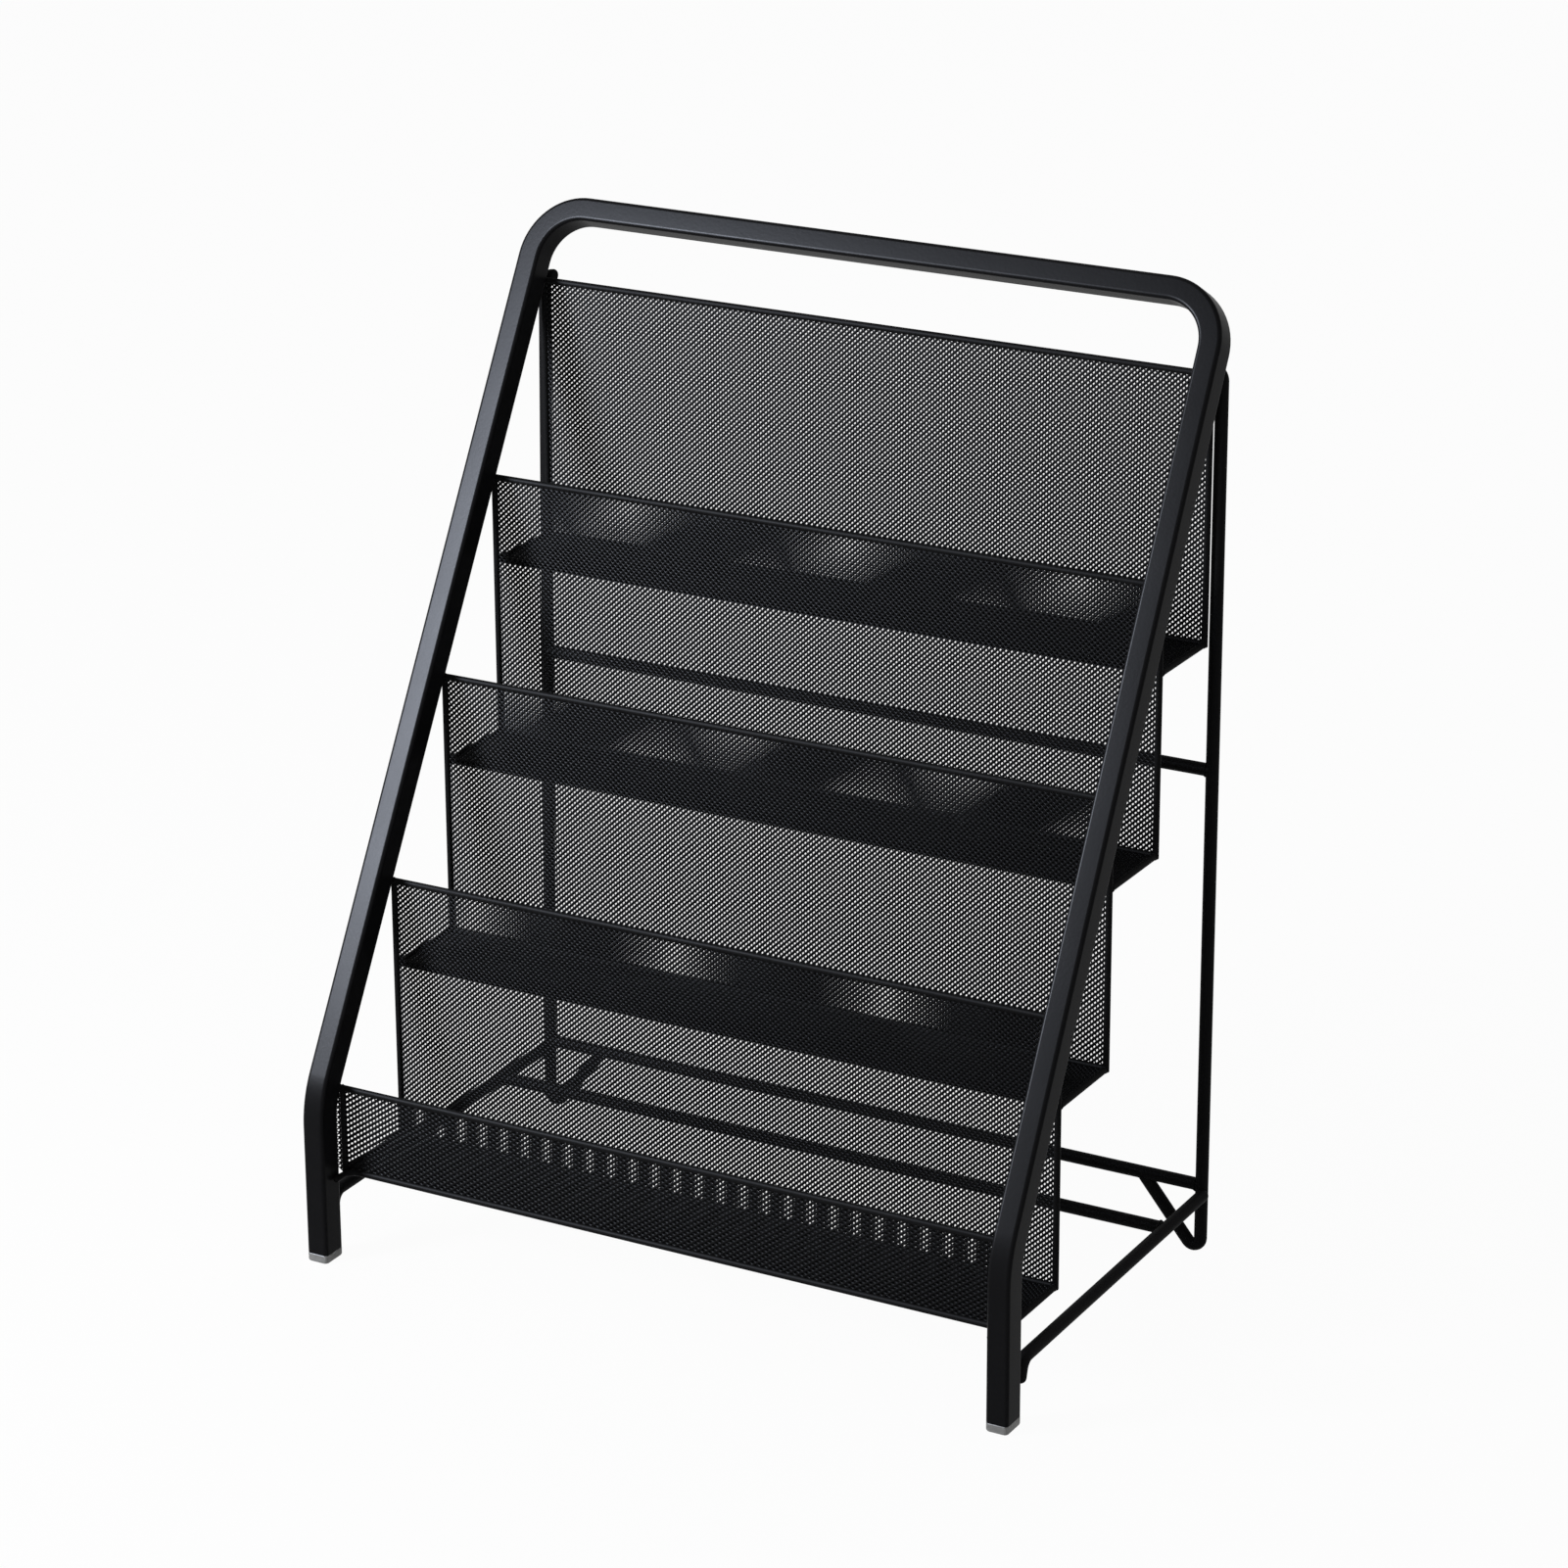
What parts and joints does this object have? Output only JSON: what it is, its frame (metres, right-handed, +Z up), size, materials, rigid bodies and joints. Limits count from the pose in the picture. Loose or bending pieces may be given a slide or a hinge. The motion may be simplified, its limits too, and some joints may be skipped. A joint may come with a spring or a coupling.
{
  "type": "periodical display rack",
  "caption": "Floor-standing black rack for periodicals: a bent box-tube frame leans back and carries stepped trays of expanded-metal mesh on a round-bar stand, with a bare handle bar on top.",
  "frame": {"origin": "on the floor, at the middle of the rack's footprint box", "axes": "+X to the right as seen from the front, +Y to the back, +Z up; the lips and the front legs face -Y"},
  "size_m": [0.6, 0.3698, 0.762],
  "materials": {
    "powder_black": "satin black powder coat over steel",
    "mesh_black": "satin black powder coat over expanded steel sheet",
    "cap_grey": "pale grey moulded plastic"
  },
  "bodies": {
    "root": {"front_frame": "powder_black", "foot_cap_left": "cap_grey", "foot_cap_right": "cap_grey", "top_rail": "powder_black", "lip_rail_1": "powder_black", "lip_rail_2": "powder_black", "lip_rail_3": "powder_black", "lip_rail_4": "powder_black", "back_mesh_1": "mesh_black", "back_mesh_2": "mesh_black", "back_mesh_3": "mesh_black", "back_mesh_4": "mesh_black", "floor_mesh_1": "mesh_black", "floor_mesh_2": "mesh_black", "floor_mesh_3": "mesh_black", "floor_mesh_4": "mesh_black", "lip_mesh": "mesh_black", "upright_1_left": "powder_black", "upright_1_right": "powder_black", "upright_2_left": "powder_black", "upright_2_right": "powder_black", "upright_3_left": "powder_black", "upright_3_right": "powder_black", "upright_4_left": "powder_black", "upright_4_right": "powder_black", "lip_post_left": "powder_black", "lip_post_right": "powder_black", "floor_side_wire_1_left": "powder_black", "floor_side_wire_1_right": "powder_black", "floor_side_wire_2_left": "powder_black", "floor_side_wire_2_right": "powder_black", "floor_side_wire_3_left": "powder_black", "floor_side_wire_3_right": "powder_black", "floor_side_wire_4_left": "powder_black", "floor_side_wire_4_right": "powder_black", "floor_rear_wire_1": "powder_black", "floor_rear_wire_2": "powder_black", "floor_rear_wire_3": "powder_black", "floor_rear_wire_4": "powder_black", "floor_front_wire_1": "powder_black", "floor_front_wire_2": "powder_black", "floor_front_wire_3": "powder_black", "floor_front_wire_4": "powder_black", "rear_leg_left": "powder_black", "rear_leg_right": "powder_black", "mid_crossbar": "powder_black", "rear_crossbar": "powder_black", "stay_left": "powder_black", "stay_right": "powder_black", "stay_crossbar": "powder_black"}
  },
  "joints": []
}
